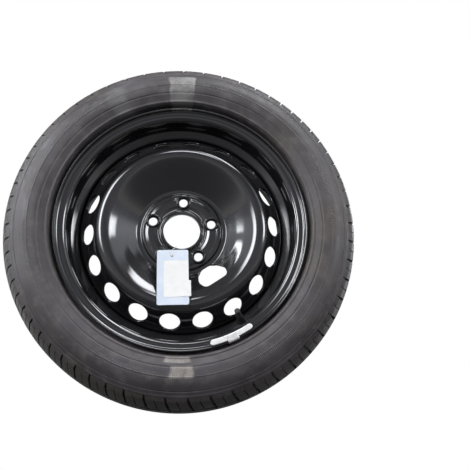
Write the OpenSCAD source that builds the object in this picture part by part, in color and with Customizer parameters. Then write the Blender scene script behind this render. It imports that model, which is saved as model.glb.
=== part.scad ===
// Spare wheel: pressed steel wheel with a tubeless radial tyre, a snap-in valve and a clip-on weight.
// The wheel stands upright: its axis lies along Y and its outer face looks towards -Y.
// Every outline below is drawn as [radius, height], with height measured from the wheel's middle
// plane towards the outer face, and is turned upright at the end.

/* [Tyre] */
// Outside diameter of the tread
tyre_d = 632; // [620:1:660]
// Widest distance between the two sidewalls
tyre_section_w = 214; // [204:1:226]
// Width of the tread between its two shoulders
tread_w = 166; // [150:1:176]
// Fall of the tread from its middle to its shoulders
tread_fall = 14; // [8:0.5:20]
// Depth of the tread grooves
tread_depth = 7; // [3:0.5:9]
// Width of the grooves that run round the tread
ring_groove_w = 8; // [4:0.5:12]
// Distance from the middle plane to the inner pair of ring grooves
inner_groove_at = 16; // [10:1:24]
// Distance from the middle plane to the outer pair of ring grooves
outer_groove_at = 46; // [38:1:54]
// Number of shoulder blocks round the tyre
shoulder_blocks = 62; // [40:1:72]
// Width of the slots between shoulder blocks
shoulder_slot_w = 4.5; // [2:0.5:8]
// Slant of the slots between shoulder blocks
shoulder_slot_slant = 8; // [0:1:20]
// Thickness of the sidewall
sidewall_t = 8; // [5:0.5:12]
// Rubber and belts left under the tread grooves
undertread_t = 9; // [6:0.5:14]

/* [Rim] */
// Diameter of the bead seats
seat_d = 405.6; // [400:0.2:412]
// Width between the two flanges
rim_w = 165.1; // [152:0.1:178]
// Height of the flanges above the bead seat
flange_h = 17.3; // [15:0.1:19]
// Radius of the rolled flange lips on the tyre side
flange_roll = 9.5; // [8:0.5:11]
// Thickness of the rim sheet
rim_t = 3; // [2:0.1:4]
// Depth of the drop well below the bead seats
well_depth = 17.3; // [14:0.1:20]
// Width of the well floor
well_w = 40; // [34:1:48]
// Distance from the middle plane to the outer end of the well floor
well_edge = 34; // [30:1:38]

/* [Disc] */
// Thickness of the disc sheet
disc_t = 4; // [3:0.1:5]
// Distance of the hub face from the middle plane
inset = 41; // [35:1:46]
// Diameter of the centre bore
bore_d = 65.1; // [56:0.1:67]
// Height of the collar round the centre bore
collar_h = 5; // [2:0.5:8]
// Diameter of the bolt circle
bolt_circle_d = 110; // [106:0.1:114]
// Number of wheel bolts
bolt_count = 5; // [4:1:5]
// Diameter of the bolt holes
bolt_hole_d = 15; // [13:0.5:16]
// Outer diameter of the conical bolt seats
bolt_seat_d = 20.5; // [18:0.5:22]
// Height of the bolt seats above the hub pad
bolt_seat_h = 4.5; // [3:0.5:6]
// Width of the flat hub pad outside the bolt circle
pad_margin = 17; // [15:0.5:20]
// Radial width of the flank, from the crown to the skirt
flank_w = 42.9; // [40:0.1:46]
// How far the crown lies behind the rim's outer lip
crown_recess = 14; // [8:1:24]
// Slope of the flank
flank_slope = 49; // [44:1:54]
// Number of vent holes
vent_count = 18; // [12:1:20]
// Diameter of the vent holes
vent_d = 36; // [24:1:40]
// Length of the skirt that is pressed into the well
skirt_len = 22; // [14:1:24]
// Width of the hand hole in the bowl
hand_hole_w = 50; // [36:1:54]
// Radial height of the hand hole
hand_hole_h = 34; // [24:1:36]
// Distance from the wheel's axis to the middle of the hand hole
hand_hole_at = 95; // [93:0.5:97]

/* [Valve] */
// Direction of the valve, the hand hole and one vent hole seen from the front
valve_angle = -56; // [-90:1:0]
// Diameter of the valve hole in the rim
valve_hole_d = 11.5; // [11.3:0.1:12]
// Largest diameter of the rubber outside the rim
valve_rubber_d = 15.4; // [14.5:0.1:17]
// Length of the rubber outside the rim
valve_rubber_len = 19.5; // [16:0.5:24]
// Outer diameter of the stem's threaded mouth
stem_d = 7.7; // [7.4:0.1:8]
// Length of the stem outside the rubber
stem_mouth_len = 11.5; // [9:0.5:14]
// Travel of the valve pin
pin_travel = 1.2; // [0.6:0.1:1.4]
// Outer diameter of the dust cap
cap_d = 10; // [9.5:0.1:12]
// Length of the dust cap
cap_len = 12.8; // [12:0.1:16]

/* [Balance weight] */
// Direction of the weight seen from the front
weight_angle = -65.5; // [-180:0.5:180]
// Length of the weight along the lip
weight_len = 76; // [30:1:110]
// Radial height of the weight
weight_h = 9.4; // [7:0.1:9.8]
// How far the weight stands in front of the lip
weight_proud = 3.5; // [2:0.5:6]
// Width of the steel clip
clip_w = 19; // [10:1:26]
// Thickness of the steel clip
clip_t = 1; // [0.6:0.1:1.2]

/* [Hidden] */

// Pieces of the wheel that are pressed together stay this far apart
fit_gap = 0.1;
// Segments of a rounded corner and facets of a full turn
corner_steps = 6;
round_steps = 180;
// How far a cutter reaches past what it cuts
over = 1;

// Rim outline
seat_r = seat_d / 2;
flange_at = rim_w / 2;
lip_top_r = seat_r + flange_h;
lip_centre = [lip_top_r - flange_roll, flange_at + flange_roll];
lip_droop = 20;
lip_front = lip_centre[1] + flange_roll * sin(lip_droop);
flange_heel = 6.5;
seat_w = 20;
seat_taper = 5;
seat_end_r = seat_r - seat_w * tan(seat_taper);
seat_end = flange_at - seat_w;
hump_h = 1.3;
hump_w = 8;
hump_round = rim_t + 2;
well_r = seat_r - well_depth;
well_wall_lean = 30;
well_round = 5;
ledge_r = seat_end_r - 0.4;
well_wall_h = (ledge_r - well_r) * tan(well_wall_lean);
well_inner_edge = well_edge - well_w;
inner_slope_w = 30;

// Disc outline
pad_front = inset + disc_t;
bore_r = bore_d / 2;
bolt_r = bolt_circle_d / 2;
pad_r = bolt_r + pad_margin;
collar_fold = 3.5;
collar_break = 0.8;
pad_step = 4;
ridge_h = 2;
ridge_half_w = 7;
crown_h = lip_front - crown_recess;
skirt_r = well_r - rim_t - fit_gap;
crown_r = skirt_r - flank_w;
crown_corner_h = crown_h + 2.4;
shoulder_run = 15.5;
shoulder_drop = 6.5;
flank_foot_h = crown_corner_h - flank_w * tan(flank_slope);
skirt_set_back = 7;
skirt_end = well_edge - skirt_set_back - skirt_len;
vent_r = (crown_r + skirt_r) / 2 + 5;
vent_h = crown_corner_h - (vent_r - crown_r) * tan(flank_slope);
weld_leg = 4;
weld_inset = 0.4;
weld_root = 0.6;
weld_count = 4;
weld_arc = 50;

// Valve: heights run along its own axis from the rim sheet's outer face
valve_lean = well_wall_lean;
valve_wall_r = (ledge_r + well_r) / 2 - 0.4;
valve_wall_h = well_edge + (valve_wall_r - well_r) * tan(well_wall_lean);
rubber_gap = 0.3;
rubber_foot_r = 8.6;
rubber_foot_h = 8;
rubber_foot_break = 1.8;
rubber_heel = 1;
mouth_top = valve_rubber_len + stem_mouth_len;
stem_r = stem_d / 2;
stem_tail_r = 3;
stem_step = 8;
stem_foot = -9;
core_bore_r = 1.95;
core_thread_r = 2.65;
plug_len = 5;
plug_top = mouth_top - 1;
plug_foot = plug_top - plug_len;
gasket_t = 1.5;
gasket_foot = plug_foot - gasket_t;
barrel_len = 13;
barrel_foot = plug_foot - barrel_len;
barrel_r = 1.8;
barrel_bore_r = 1.3;
barrel_floor = 1;
pin_r = 0.5;
pin_top = mouth_top - 0.4;
pin_head_r = 1.1;
pin_head_t = 0.8;
pin_head_foot = barrel_foot + 9.5;
cup_r = 1.6;
cup_t = 1.5;
seal_t = 0.4;
cup_foot = barrel_foot - seal_t - cup_t;
core_bore_foot = cup_foot - pin_travel - 0.5;
core_clear = 0.25;
spring_wire_r = 0.12;
spring_r = 0.85;
spring_turns = 9;
spring_sides = 6;
spring_steps = 12;
cap_clear = 0.2;
cap_end_t = 1.2;
cap_top = mouth_top + 0.7 + cap_end_t;
cap_flutes = 12;
cap_flute_r = 0.5;

// Balance weight
weight_top_r = lip_centre[0] + (flange_roll - rim_t) * cos(lip_droop) - rubber_gap;
weight_mid_r = weight_top_r - weight_h / 2;
weight_front = lip_front + weight_proud;
weight_root_r = flange_roll - rim_t - rubber_gap;
weight_taper = 0.4;
weight_sweep = (weight_len - weight_h) / weight_mid_r * 180 / PI;
clip_sweep = clip_w / weight_mid_r * 180 / PI;
clip_reach = 5;
clip_hook = -50;

// Tyre outline
tyre_r = tyre_d / 2;
tread_half = tread_w / 2;
tread_crown_round = 400;
belt_half = tread_half - 22;
section_half = tyre_section_w / 2;
wall_h = tyre_r - seat_r;
widest_r = seat_r + 0.47 * wall_h;
bead_w = 18;
bead_toe_r = seat_r + fit_gap - bead_w * tan(seat_taper);
lip_clear = 4;
shoulder_r = tyre_r - tread_fall;
outer_groove_fall = 2.8;

// Unit vector along v
function unit(v) = v / norm(v);

// Angle brought between -180 and 180 degrees
function turn(a) = a > 180 ? a - 360 : (a < -180 ? a + 360 : a);

// Points of the arc that rounds corner b between a and c with radius r
function corner(a, b, c, r) =
    let (u = unit(a - b), w = unit(c - b))
    let (half = acos(max(-1, min(1, u * w))) / 2)
    let (mid = b + unit(u + w) * r / sin(half))
    let (first = b + u * r / tan(half) - mid, last = b + w * r / tan(half) - mid)
    let (start = atan2(first[1], first[0]))
    let (sweep = turn(atan2(last[1], last[0]) - start))
    [for (i = [0:corner_steps])
        mid + r * [cos(start + sweep * i / corner_steps), sin(start + sweep * i / corner_steps)]];

function flat(q) = [q[0], q[1]];

// Length of side that the rounding of point i of a path takes up
function reach(p, i) =
    i == 0 || i == len(p) - 1
        ? 0
        : let (u = unit(flat(p[i - 1] - p[i])), w = unit(flat(p[i + 1] - p[i])))
          p[i][2] / tan(acos(max(-1, min(1, u * w))) / 2);

// Share of its radius that point i may keep without meeting the rounding of its neighbours
function room(p, i) =
    let (before = norm(flat(p[i] - p[i - 1])) / (reach(p, i - 1) + reach(p, i)))
    let (after = norm(flat(p[i + 1] - p[i])) / (reach(p, i) + reach(p, i + 1)))
    min(1, 0.95 * before, 0.95 * after);

// Path through points [x, y, corner radius], with each inner corner rounded
function rounded(p) =
    [for (i = [0:len(p) - 1])
        each (i == 0 || i == len(p) - 1 || p[i][2] == 0)
            ? [flat(p[i])]
            : corner(flat(p[i - 1]), flat(p[i]), flat(p[i + 1]), p[i][2] * room(p, i))];

// Left-hand normal of the step from a to b
function side(a, b) = let (d = unit(b - a)) [-d[1], d[0]];

// Path moved sideways by t, with its corners mitred
function moved(p, t) =
    [for (i = [0:len(p) - 1])
        let (before = i == 0 ? side(p[0], p[1]) : side(p[i - 1], p[i]))
        let (after = i == len(p) - 1 ? before : side(p[i], p[i + 1]))
        let (middle = unit(before + after))
        p[i] + middle * t / (middle * before)];

function reversed(p) = [for (i = [len(p) - 1:-1:0]) p[i]];

// Path without its two ends
function between(p) = [for (i = [1:len(p) - 2]) p[i]];

// Path seen in the middle plane's mirror, run backwards
function mirrored(p) = [for (q = reversed(p)) len(q) == 3 ? [q[0], -q[1], q[2]] : [q[0], -q[1]]];

// Closed outline of a sheet that follows a path
function sheet(p, t) = concat(p, reversed(moved(p, t)));

// Points of an arc about c
function arc(c, r, from, to, steps) =
    [for (i = [0:steps]) c + r * [cos(from + (to - from) * i / steps), sin(from + (to - from) * i / steps)]];

// Rim sheet, tyre side: the outer lip's roll, the bead seat with its hump, then the well
lip_path = arc(lip_centre, flange_roll, lip_droop, -90, corner_steps + 2);
seat_path = [
    [lip_centre[0], flange_at, 0],
    [seat_r, flange_at, flange_heel],
    [seat_end_r, seat_end, 3],
    [seat_end_r + hump_h, seat_end - hump_w / 2, hump_round],
    [ledge_r, seat_end - hump_w, 3]];
well_path = [
    [ledge_r, well_edge + well_wall_h, 6],
    [well_r, well_edge, well_round],
    [well_r, well_inner_edge, 12],
    [ledge_r, well_inner_edge - inner_slope_w, 12]];
rim_path = concat(
    lip_path,
    between(rounded(concat(seat_path, well_path, mirrored(seat_path)))),
    mirrored(lip_path));

// Disc sheet, outer face, from the collar's top to the skirt's inner end
disc_front = rounded([
    [bore_r + disc_t - collar_break, pad_front + collar_h, 0],
    [bore_r + disc_t, pad_front + collar_h - collar_break, 0],
    [bore_r + disc_t, pad_front, collar_fold],
    [bolt_r - ridge_half_w - 1, pad_front, 2],
    [bolt_r - ridge_half_w + 1, pad_front + ridge_h, disc_t + 0.5],
    [bolt_r + ridge_half_w - 1, pad_front + ridge_h, disc_t + 0.5],
    [bolt_r + ridge_half_w + 1, pad_front, 2],
    [pad_r, pad_front, disc_t + 0.5],
    [pad_r + pad_step, pad_front - pad_step, 4],
    [pad_r + pad_step + 8, pad_front - pad_step + 0.4, 10],
    [crown_r - shoulder_run, crown_corner_h - shoulder_drop, 32],
    [crown_r, crown_corner_h, 8],
    [skirt_r, flank_foot_h, 12],
    [skirt_r, skirt_end, 0]]);
pad_start = corner_steps + 2;
disc_back = moved([for (i = [pad_start:len(disc_front) - 1]) disc_front[i]], -disc_t);
disc_outline = concat([[bore_r, inset], [bore_r, pad_front + collar_h]], disc_front, reversed(disc_back));

// Tyre, outside, from the middle of the tread to the outer bead's toe
tyre_outside = [
    [tyre_r - 3.5, tread_half * 0.66, 90],
    [shoulder_r - 1, tread_half + 1, 11],
    [shoulder_r - 0.14 * wall_h, section_half - 11, 30],
    [widest_r + 0.125 * wall_h, section_half, 32],
    [widest_r - 0.07 * wall_h, section_half, 22],
    [lip_top_r + lip_clear + 3, flange_at + flange_roll + 8, 7],
    [lip_top_r + lip_clear, flange_at + 3, 4],
    [lip_centre[0] + 5, flange_at - 2.5, 4],
    [lip_centre[0], flange_at - fit_gap, 2],
    [seat_r + fit_gap, flange_at - fit_gap, flange_heel],
    [bead_toe_r, flange_at - bead_w, 0]];
// Tyre, inside, from the outer bead's toe to the middle of the tread
tyre_inside = [
    [lip_top_r - 4, flange_at - bead_w + 1, 8],
    [lip_top_r + 0.105 * wall_h, flange_at + 1, 14],
    [widest_r, section_half - sidewall_t, 36],
    [shoulder_r - 0.16 * wall_h, section_half - sidewall_t - 8, 24],
    [tyre_r - tread_depth - undertread_t - 1, belt_half, 30]];
bead_toe = [[bead_toe_r, flange_at - bead_w, 0]];
tyre_outline = concat(
    rounded(concat(mirrored(tyre_outside), [[tyre_r, 0, tread_crown_round]], tyre_outside)),
    between(rounded(concat(bead_toe, tyre_inside, mirrored(tyre_inside), mirrored(bead_toe)))));

// Turns an outline about the wheel's axis
module revolved(outline, sweep = 360) {
    rotate_extrude(angle = sweep, $fn = round_steps)
        polygon(outline);
}

// Stands the wheel up, with its outer face towards -Y
module upright() {
    rotate([90, 0, 0])
        children();
}

// Puts a piece on the valve's axis, with heights measured from the rim sheet's outer face
module on_valve() {
    upright()
        rotate([0, 0, valve_angle])
            translate([valve_wall_r, 0, valve_wall_h])
                rotate([0, -valve_lean, 0])
                    translate([0, 0, rim_t])
                        children();
}

// Round piece from one height to another
module stub(r, from, to) {
    translate([0, 0, from])
        cylinder(h = to - from, r = r, $fn = 48);
}

// Groove that runs round the tread at a height above the middle plane
module ring_groove(at) {
    bottom = tyre_r - tread_depth - outer_groove_fall * pow(at / outer_groove_at, 2);
    rotate_extrude($fn = round_steps)
        polygon([
            [bottom, at - ring_groove_w / 2 + 1],
            [bottom, at + ring_groove_w / 2 - 1],
            [tyre_r + over, at + ring_groove_w / 2 + 0.5],
            [tyre_r + over, at - ring_groove_w / 2 - 0.5]]);
}

// Slots between the shoulder blocks of the outer side
module shoulder_slots(start) {
    slot_foot = outer_groove_at + ring_groove_w / 2 + 3;
    slot_len = tread_half + 14 - slot_foot;
    slot_bottom = tyre_r - tread_depth - outer_groove_fall + 1;
    slot_fall = atan((tread_fall - outer_groove_fall) / (tread_half - slot_foot));
    for (i = [0:shoulder_blocks - 1])
        rotate([0, 0, start + i * 360 / shoulder_blocks])
            translate([slot_bottom, 0, slot_foot])
                rotate([shoulder_slot_slant, -slot_fall, 0])
                    translate([0, -shoulder_slot_w / 2, 0])
                        cube([tread_fall + tread_depth, shoulder_slot_w, slot_len]);
}

module tyre() {
    color([0.2, 0.2, 0.21])
        upright()
            difference() {
                revolved(tyre_outline);
                for (at = [inner_groove_at, outer_groove_at]) {
                    ring_groove(at);
                    ring_groove(-at);
                }
                shoulder_slots(0);
                mirror([0, 0, 1])
                    shoulder_slots(180 / shoulder_blocks);
            }
}

module rim() {
    color([0.07, 0.07, 0.075])
        difference() {
            upright()
                revolved(sheet(rim_path, -rim_t));
            on_valve()
                stub(valve_hole_d / 2, -2 * rim_t, rim_t);
        }
}

// Places children at each wheel bolt
module at_bolts() {
    for (i = [0:bolt_count - 1])
        rotate([0, 0, valve_angle + i * 360 / bolt_count])
            translate([bolt_r, 0, 0])
                children();
}

// Raised cone round a bolt hole
module bolt_boss() {
    translate([0, 0, pad_front - over])
        cylinder(h = bolt_seat_h + over, r1 = bolt_seat_d / 2 + 3.5, r2 = bolt_seat_d / 2 + 0.8, $fn = 48);
}

// Bolt hole with its conical seat
module bolt_hole() {
    seat_deep = (bolt_seat_d - bolt_hole_d) / 2 / tan(30);
    translate([0, 0, inset - over])
        cylinder(h = bolt_seat_h + disc_t + 2 * over, r = bolt_hole_d / 2, $fn = 48);
    translate([0, 0, pad_front + bolt_seat_h - seat_deep])
        cylinder(h = seat_deep + 0.01, r1 = bolt_hole_d / 2, r2 = bolt_seat_d / 2, $fn = 48);
}

// Hand hole: a curved inner edge and a straight outer one, with rounded corners
module hand_hole() {
    half = hand_hole_w / 2;
    outline = rounded([
        [-hand_hole_h / 2, 0, 0],
        [-hand_hole_h / 2, half * 0.62, half * 0.7],
        [hand_hole_h * 0.05, half * 1.06, half * 0.4],
        [hand_hole_h / 2, half * 0.9, 7],
        [hand_hole_h / 2, 0, 0]]);
    rotate([0, 0, valve_angle])
        translate([hand_hole_at, 0, 0])
            linear_extrude(height = lip_front)
                polygon(concat(outline, mirrored(outline)));
}

// Vent holes, pierced square to the flank
module vent_holes() {
    for (i = [0:vent_count - 1])
        rotate([0, 0, valve_angle + i * 360 / vent_count])
            translate([vent_r, 0, vent_h])
                rotate([0, flank_slope, 0])
                    cylinder(h = 8 * disc_t, r = vent_d / 2, center = true, $fn = 64);
}

// Weld runs between the skirt's inner end and the well
module welds() {
    section = [
        [skirt_r - disc_t + weld_root, skirt_end],
        [skirt_r - weld_inset, skirt_end - weld_leg],
        [skirt_r - weld_inset, skirt_end + over],
        [skirt_r - disc_t + weld_root, skirt_end + over]];
    for (i = [0:weld_count - 1])
        rotate([0, 0, valve_angle + 20 + i * 360 / weld_count])
            revolved(section, weld_arc);
}

module wheel_disc() {
    color([0.08, 0.08, 0.085])
        upright()
            difference() {
                union() {
                    revolved(disc_outline);
                    at_bolts()
                        bolt_boss();
                    welds();
                }
                at_bolts()
                    bolt_hole();
                vent_holes();
                hand_hole();
            }
}

module valve_body() {
    outline = [
        [stem_tail_r, -rim_t - rubber_gap - rubber_foot_h],
        [rubber_foot_r - 2.6, -rim_t - rubber_gap - rubber_foot_h],
        [rubber_foot_r, -rim_t - rubber_gap - rubber_foot_h / 2],
        [rubber_foot_r, -rim_t - rubber_gap - rubber_foot_break],
        [rubber_foot_r - rubber_foot_break, -rim_t - rubber_gap],
        [valve_hole_d / 2 - fit_gap, -rim_t - rubber_gap],
        [valve_hole_d / 2 - fit_gap, rubber_gap],
        [valve_rubber_d / 2 - rubber_heel, rubber_gap],
        [valve_rubber_d / 2, rubber_gap + 1.5],
        [valve_rubber_d / 2 - 0.6, 6],
        [stem_r + 2, valve_rubber_len - 3],
        [stem_r + 1.5, valve_rubber_len],
        [stem_r, valve_rubber_len],
        [stem_r, stem_step],
        [stem_tail_r, stem_step]];
    color([0.1, 0.1, 0.1])
        on_valve()
            rotate_extrude($fn = 64)
                polygon(outline);
}

module valve_stem() {
    color([0.75, 0.6, 0.3])
        on_valve()
            difference() {
                union() {
                    stub(stem_tail_r, stem_foot, stem_step);
                    stub(stem_r, stem_step, mouth_top);
                }
                stub(core_bore_r - 0.6, stem_foot - over, core_bore_foot + over);
                stub(core_bore_r, core_bore_foot, mouth_top);
                stub(core_thread_r, gasket_foot, mouth_top + over);
            }
}

module core_plug() {
    color([0.8, 0.66, 0.36])
        on_valve()
            difference() {
                stub(core_thread_r - fit_gap, plug_foot, plug_top);
                stub(pin_r + core_clear + 0.1, plug_foot - over, plug_top + over);
                translate([-core_thread_r - over, -0.5, plug_top - 1.6])
                    cube([2 * core_thread_r + 2 * over, 1, 1.6 + over]);
            }
}

module core_barrel() {
    color([0.8, 0.66, 0.36])
        on_valve()
            difference() {
                stub(barrel_r, barrel_foot, plug_foot);
                stub(pin_r + core_clear, barrel_foot - over, barrel_foot + barrel_floor + over);
                stub(barrel_bore_r, barrel_foot + barrel_floor, plug_foot + over);
            }
}

module core_gasket() {
    color([0.75, 0.15, 0.12])
        on_valve()
            difference() {
                stub(core_thread_r - fit_gap, gasket_foot, plug_foot);
                stub(barrel_r, gasket_foot - over, plug_foot + over);
            }
}

module core_pin() {
    color([0.8, 0.66, 0.36])
        on_valve() {
            stub(pin_r, cup_foot, pin_top);
            stub(pin_r + 0.2, pin_top - 1, pin_top);
            stub(pin_head_r, pin_head_foot, pin_head_foot + pin_head_t);
            stub(cup_r, cup_foot, cup_foot + cup_t);
        }
}

module core_seal() {
    color([0.12, 0.12, 0.12])
        on_valve()
            difference() {
                stub(cup_r, cup_foot + cup_t, barrel_foot);
                stub(pin_r, cup_foot + cup_t - over, barrel_foot + over);
            }
}

// Helical spring round the pin, between the barrel's floor and the pin's head
module core_spring() {
    foot = barrel_foot + barrel_floor + spring_wire_r + 0.05;
    top = pin_head_foot - spring_wire_r - 0.05;
    rings = spring_turns * spring_steps;
    function ring_point(i, j) =
        let (a = i * 360 / spring_steps, b = j * 360 / spring_sides)
        let (r = spring_r + spring_wire_r * cos(b))
        [r * cos(a), r * sin(a), foot + (top - foot) * i / rings + spring_wire_r * sin(b)];
    points = [for (i = [0:rings]) for (j = [0:spring_sides - 1]) ring_point(i, j)];
    walls = [for (i = [0:rings - 1]) for (j = [0:spring_sides - 1])
        let (next = (j + 1) % spring_sides)
        [i * spring_sides + j, i * spring_sides + next,
         (i + 1) * spring_sides + next, (i + 1) * spring_sides + j]];
    first_end = [for (j = [spring_sides - 1:-1:0]) j];
    last_end = [for (j = [0:spring_sides - 1]) rings * spring_sides + j];
    color([0.7, 0.7, 0.72])
        on_valve()
            polyhedron(points, [for (f = concat(walls, [first_end, last_end])) reversed(f)]);
}

module valve_cap() {
    cap_foot = cap_top - cap_len;
    color([0.12, 0.12, 0.12])
        on_valve()
            difference() {
                union() {
                    stub(cap_d / 2, cap_foot, cap_top - 0.8);
                    translate([0, 0, cap_top - 0.8])
                        cylinder(h = 0.8, r1 = cap_d / 2, r2 = cap_d / 2 - 0.8, $fn = 48);
                }
                stub(stem_r + cap_clear, cap_foot - over, cap_top - cap_end_t);
                for (i = [0:cap_flutes - 1])
                    rotate([0, 0, i * 360 / cap_flutes])
                        translate([cap_d / 2 + 0.2, 0, cap_foot + 2])
                            cylinder(h = cap_len, r = cap_flute_r, $fn = 16);
            }
}

// Clip strip: hooked over the lip from the tyre side and bedded in the weight's front
function clip_path() =
    let (hug = flange_roll + fit_gap)
    let (front = lip_front + 1.6)
    let (bend_r = lip_centre[0] + hug * cos(lip_droop) + 0.2)
    concat(
        arc(lip_centre, hug, clip_hook, lip_droop, 8),
        rounded([[bend_r, lip_centre[1] + hug * sin(lip_droop) + 0.3, 0],
                 [bend_r - 0.2, front, 0.8],
                 [weight_top_r - clip_reach, front, 0]]));

module clip_strip() {
    upright()
        rotate([0, 0, weight_angle - clip_sweep / 2])
            revolved(sheet(clip_path(), -clip_t), clip_sweep);
}

// Section of the weight: a round root in the lip's hollow and a block in front of it
module weight_section() {
    translate([lip_centre[0], lip_centre[1]])
        intersection() {
            circle(r = weight_root_r, $fn = 48);
            translate([-weight_root_r, -weight_root_r])
                square([weight_top_r - lip_centre[0] + weight_root_r, 2 * weight_root_r]);
        }
    translate([weight_top_r - weight_h, lip_centre[1]])
        square([weight_h, weight_front - lip_centre[1]]);
}

module balance_weight() {
    color([0.72, 0.72, 0.7])
        difference() {
            upright()
                rotate([0, 0, weight_angle - weight_sweep / 2]) {
                    rotate_extrude(angle = weight_sweep, $fn = round_steps)
                        weight_section();
                    for (a = [0, weight_sweep])
                        rotate([0, 0, a])
                            translate([weight_mid_r, 0, 0])
                                stub(weight_h / 2 - weight_taper, lip_centre[1] + 1, weight_front - weight_taper);
                }
            clip_strip();
        }
}

module weight_clip() {
    color([0.55, 0.56, 0.58])
        clip_strip();
}

tyre();
rim();
wheel_disc();
valve_body();
valve_stem();
core_plug();
core_barrel();
core_gasket();
core_pin();
core_seal();
core_spring();
valve_cap();
balance_weight();
weight_clip();
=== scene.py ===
"""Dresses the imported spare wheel: smooth pressed steel, tread and sidewall relief, valve, weight and tag.

Lengths are in millimetres and shader places in metres. A point of the wheel has a radius, an angle seen
from the front, and a height towards the front.
"""

import math

import bpy
import numpy as np
from mathutils import Matrix, Vector


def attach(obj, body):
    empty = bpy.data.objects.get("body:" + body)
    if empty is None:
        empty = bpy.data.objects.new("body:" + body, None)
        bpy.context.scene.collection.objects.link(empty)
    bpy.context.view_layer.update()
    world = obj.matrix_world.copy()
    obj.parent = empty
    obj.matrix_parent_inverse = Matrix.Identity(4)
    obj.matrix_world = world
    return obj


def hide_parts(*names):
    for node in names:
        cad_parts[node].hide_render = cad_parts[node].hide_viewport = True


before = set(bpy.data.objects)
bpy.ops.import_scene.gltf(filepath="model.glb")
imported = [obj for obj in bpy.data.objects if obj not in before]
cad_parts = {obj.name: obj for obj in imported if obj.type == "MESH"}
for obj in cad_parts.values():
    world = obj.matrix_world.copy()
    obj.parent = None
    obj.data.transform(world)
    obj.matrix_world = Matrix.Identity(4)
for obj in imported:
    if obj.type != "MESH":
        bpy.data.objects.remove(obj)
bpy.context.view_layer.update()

MM = 0.001


# Outlines
def unit(v):
    return v / np.linalg.norm(v)


def fillet(a, b, c, r, step_deg):
    """Points of the arc of radius r that rounds corner b between a and c."""
    u, w = unit(a - b), unit(c - b)
    half = math.acos(max(-1.0, min(1.0, float(u @ w)))) / 2
    if half > math.pi / 2 - 1e-3:
        return [b]
    mid = b + unit(u + w) * r / math.sin(half)
    first = b + u * r / math.tan(half) - mid
    last = b + w * r / math.tan(half) - mid
    a0 = math.atan2(first[1], first[0])
    turn = (math.atan2(last[1], last[0]) - a0 + math.pi) % (2 * math.pi) - math.pi
    n = max(3, math.ceil(abs(math.degrees(turn)) / step_deg))
    angles = [a0 + turn * i / n for i in range(n + 1)]
    return [mid + r * np.array([math.cos(t), math.sin(t)]) for t in angles]


def path(points, longest, step_deg):
    """Path through [radius, height, corner radius], with its corners rounded and its steps kept short."""
    p = [np.array(q[:2], float) for q in points]
    out = []
    for i, q in enumerate(points):
        square = q[2] == 0 or i in (0, len(p) - 1)
        out += [p[i]] if square else fillet(p[i - 1], p[i], p[i + 1], q[2], step_deg)
    dense = [out[0]]
    for a, b in zip(out, out[1:]):
        gap = np.linalg.norm(b - a)
        if gap < 1e-6:
            continue
        n = max(1, math.ceil(gap / longest))
        dense += [a + (b - a) * k / n for k in range(1, n + 1)]
    return np.array(dense)


def side_of(p):
    """Left-hand normals of a path."""
    d = np.gradient(p, axis=0)
    d[1:-1] = [unit(unit(p[i + 1] - p[i]) + unit(p[i] - p[i - 1])) for i in range(1, len(p) - 1)]
    d = d / np.linalg.norm(d, axis=1)[:, None]
    return np.stack([-d[:, 1], d[:, 0]], 1)


def outward_of(p, at):
    """Normals of a path, turned to the side on which the radius grows at one of its points."""
    n = side_of(p)
    return -n if n[at][0] < 0 else n


def mirrored(points):
    """The same outline on the other side of the wheel's middle plane."""
    return [[q[0], -q[1], *q[2:]] for q in reversed(points)]


# Meshes
def face_volume(v, f):
    """Six times the signed volume within triangles."""
    a, b, c = v[f[:, 0]], v[f[:, 1]], v[f[:, 2]]
    return float(np.einsum("ij,ij->i", a, np.cross(b, c)).sum())


def piece(name, verts, faces, material, body="root", sharp=None, nodes=(), slot=None):
    """A mesh from points in millimetres, with its faces turned outwards, riding on a CAD body."""
    v = np.asarray(verts, float)
    tris = np.array([(f[0], f[k], f[k + 1]) for f in faces for k in range(1, len(f) - 1)])
    if face_volume(v, tris) < 0:
        faces = [tuple(reversed(f)) for f in faces]
    mesh = bpy.data.meshes.new(name)
    mesh.from_pydata((v * MM).tolist(), [], faces)
    mesh.validate()
    mesh.shade_smooth()
    if sharp:
        mesh.set_sharp_from_angle(angle=math.radians(sharp))
    mesh.materials.append(material)
    o = bpy.data.objects.new(name, mesh)
    bpy.context.scene.collection.objects.link(o)
    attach(o, body)
    if nodes:
        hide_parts(*nodes)
    return o


def polar(r, a, h):
    """Row-frame point in millimetres from radius, angle seen from the front, and height towards the front."""
    return np.stack(np.broadcast_arrays(r * np.cos(a), -h, r * np.sin(a)), -1)


def grid_faces(rows, cols, closed_rows=True, skip=None):
    """Quads of a grid of points whose columns close on themselves, less the cells in skip."""
    out = []
    for i in range(rows if closed_rows else rows - 1):
        k = (i + 1) % rows
        for j in range(cols):
            m = (j + 1) % cols
            if skip is None or not skip[i][j]:
                out.append((i * cols + j, i * cols + m, k * cols + m, k * cols + j))
    return out


def capped_faces(rows, cols):
    """Faces of a bar of closed rows, with its two ends closed."""
    last = (rows - 1) * cols
    ends = [tuple(range(cols)), tuple(reversed(range(last, last + cols)))]
    return grid_faces(rows, cols, closed_rows=False) + ends


def turned(name, outline, material, columns, **kw):
    """Closed outline of [radius, height] turned about the wheel's axis."""
    p = np.asarray(outline, float)
    a = np.arange(columns) * 2 * math.pi / columns
    v = polar(p[:, 0][:, None], a[None, :], p[:, 1][:, None]).reshape(-1, 3)
    return piece(name, v, grid_faces(len(p), columns), material, **kw)


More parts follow.
